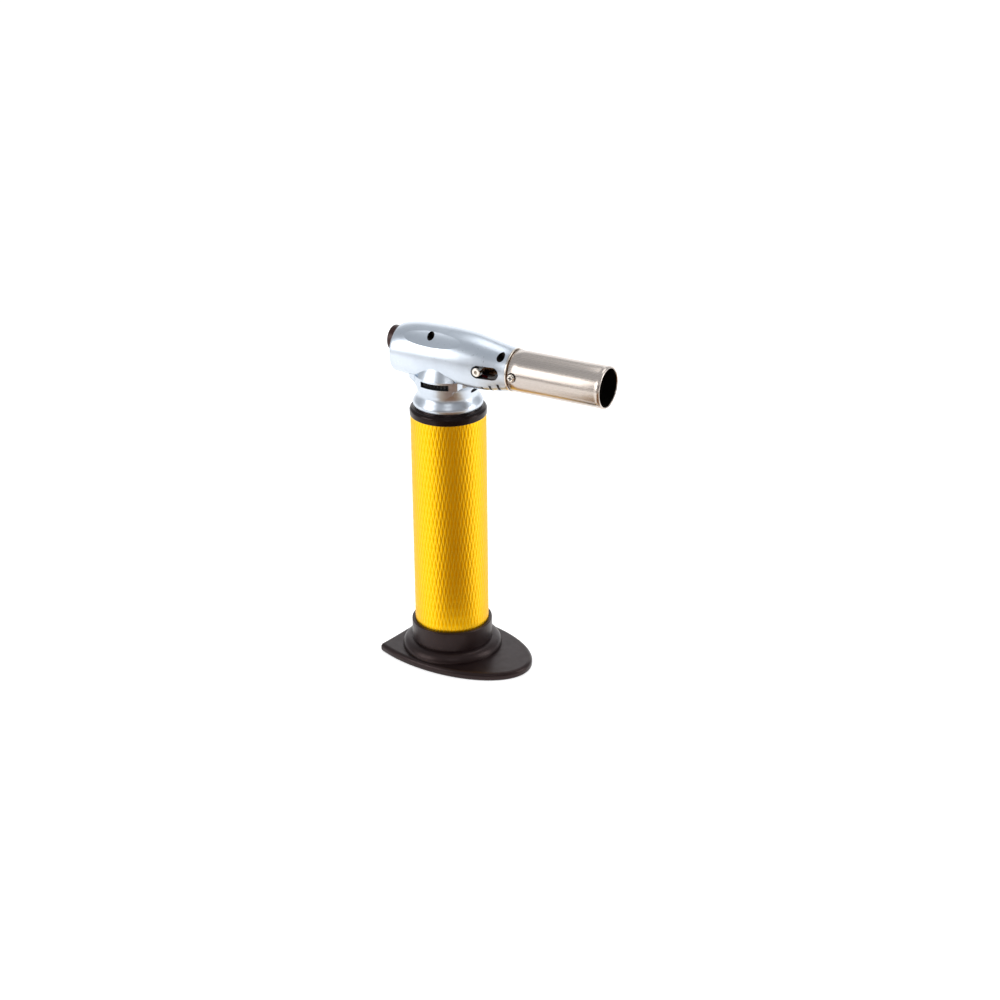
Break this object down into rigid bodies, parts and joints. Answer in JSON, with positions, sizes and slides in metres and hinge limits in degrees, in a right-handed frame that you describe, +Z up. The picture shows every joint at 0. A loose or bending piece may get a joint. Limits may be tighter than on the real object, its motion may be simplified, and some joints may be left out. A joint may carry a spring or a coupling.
{
  "type": "butane torch",
  "caption": "Hand-held refillable gas torch: upright tank grip on a removable foot, angled die-cast head with piezo button and steel burner tube.",
  "frame": {"origin": "on the ground, under the axis of the tank, at the mouth of the filler access hole", "axes": "+Z up the tank, +X the way the burner points, the two head halves meet on the plane Y = 0"},
  "size_m": [0.1429, 0.0675, 0.2111],
  "materials": {
    "foot_plastic": "black moulded plastic, satin, fine mould texture",
    "sleeve_coating": "yellow coat on a sleeve rolled with a long diamond pattern",
    "tank_nylon": "natural moulded nylon",
    "seal_rubber": "black nitrile",
    "brass": "turned",
    "spring_steel": "drawn wire",
    "ring_plastic": "black moulded plastic, half gloss",
    "dial_plastic": "black moulded plastic",
    "hose_plastic": "milky fluoropolymer tube",
    "cast_head": "die-cast, satin metallic, brighter round the neck",
    "nickel_plate": "nickel plated",
    "tube_steel": "stainless, brushed along the tube",
    "burnt_steel": "darkened by heat",
    "ceramic_white": "glazed",
    "wire_rubber": "silicone insulated lead",
    "button_plastic": "black-brown moulded plastic, satin"
  },
  "bodies": {
    "torch_body": {"grip_sleeve": "sleeve_coating", "fuel_tank": "tank_nylon", "tank_base": "tank_nylon", "tank_base_seal": "seal_rubber", "filler_valve_body": "brass", "filler_valve_seal": "seal_rubber", "filler_valve_spring": "spring_steel", "wick_tube": "tank_nylon", "cap_ring": "ring_plastic", "outlet_valve_seal": "seal_rubber", "outlet_valve_body": "brass", "outlet_elbow": "brass", "gas_hose": "hose_plastic", "head_shell_right": "cast_head", "head_shell_left": "cast_head", "housing_screws": "nickel_plate", "collar_ring": "nickel_plate", "burner_mount": "brass", "burner_tube": "tube_steel", "burner_tube_screws": "nickel_plate", "jet_holder": "brass", "gas_jet": "brass", "mixing_tube": "brass", "flame_holder": "burnt_steel", "flame_tube": "burnt_steel", "ceramic_insulator": "ceramic_white", "electrode": "spring_steel", "ignition_wire": "wire_rubber", "button_spring": "spring_steel", "piezo_igniter": "dial_plastic"},
    "stand": {"stand": "foot_plastic"},
    "ignition_button": {"ignition_button": "button_plastic", "piezo_plunger": "dial_plastic"},
    "gas_dial": {"gas_dial": "dial_plastic", "regulator_sleeve": "brass"},
    "air_shutter": {"air_shutter": "brass", "air_shutter_pin": "nickel_plate"},
    "filler_valve_stem": {"filler_valve_stem": "brass"}
  },
  "joints": [
    {"name": "stand_pull_off", "type": "slide", "parent": "torch_body", "child": "stand", "axis": [0, 0, -1], "range_m": [0, 0.018]},
    {"name": "button_press", "type": "slide", "parent": "torch_body", "child": "ignition_button", "axis": [1, 0, 0], "range_m": [0, 0.005], "stiffness_N_per_m": 900, "springref_m": -0.003, "deforming": ["button_spring"]},
    {"name": "dial_turn", "type": "hinge", "parent": "torch_body", "child": "gas_dial", "pos_m": [0, 0, 0.1806], "axis": [0, 0, 1], "range_deg": [-135, 135]},
    {"name": "air_shutter_slide", "type": "slide", "parent": "torch_body", "child": "air_shutter", "axis": [1, 0, 0], "range_m": [0, 0.0085]},
    {"name": "filler_valve_press", "type": "slide", "parent": "torch_body", "child": "filler_valve_stem", "axis": [0, 0, 1], "range_m": [0, 0.0018], "stiffness_N_per_m": 400, "springref_m": -0.002, "deforming": ["filler_valve_spring"]}
  ]
}
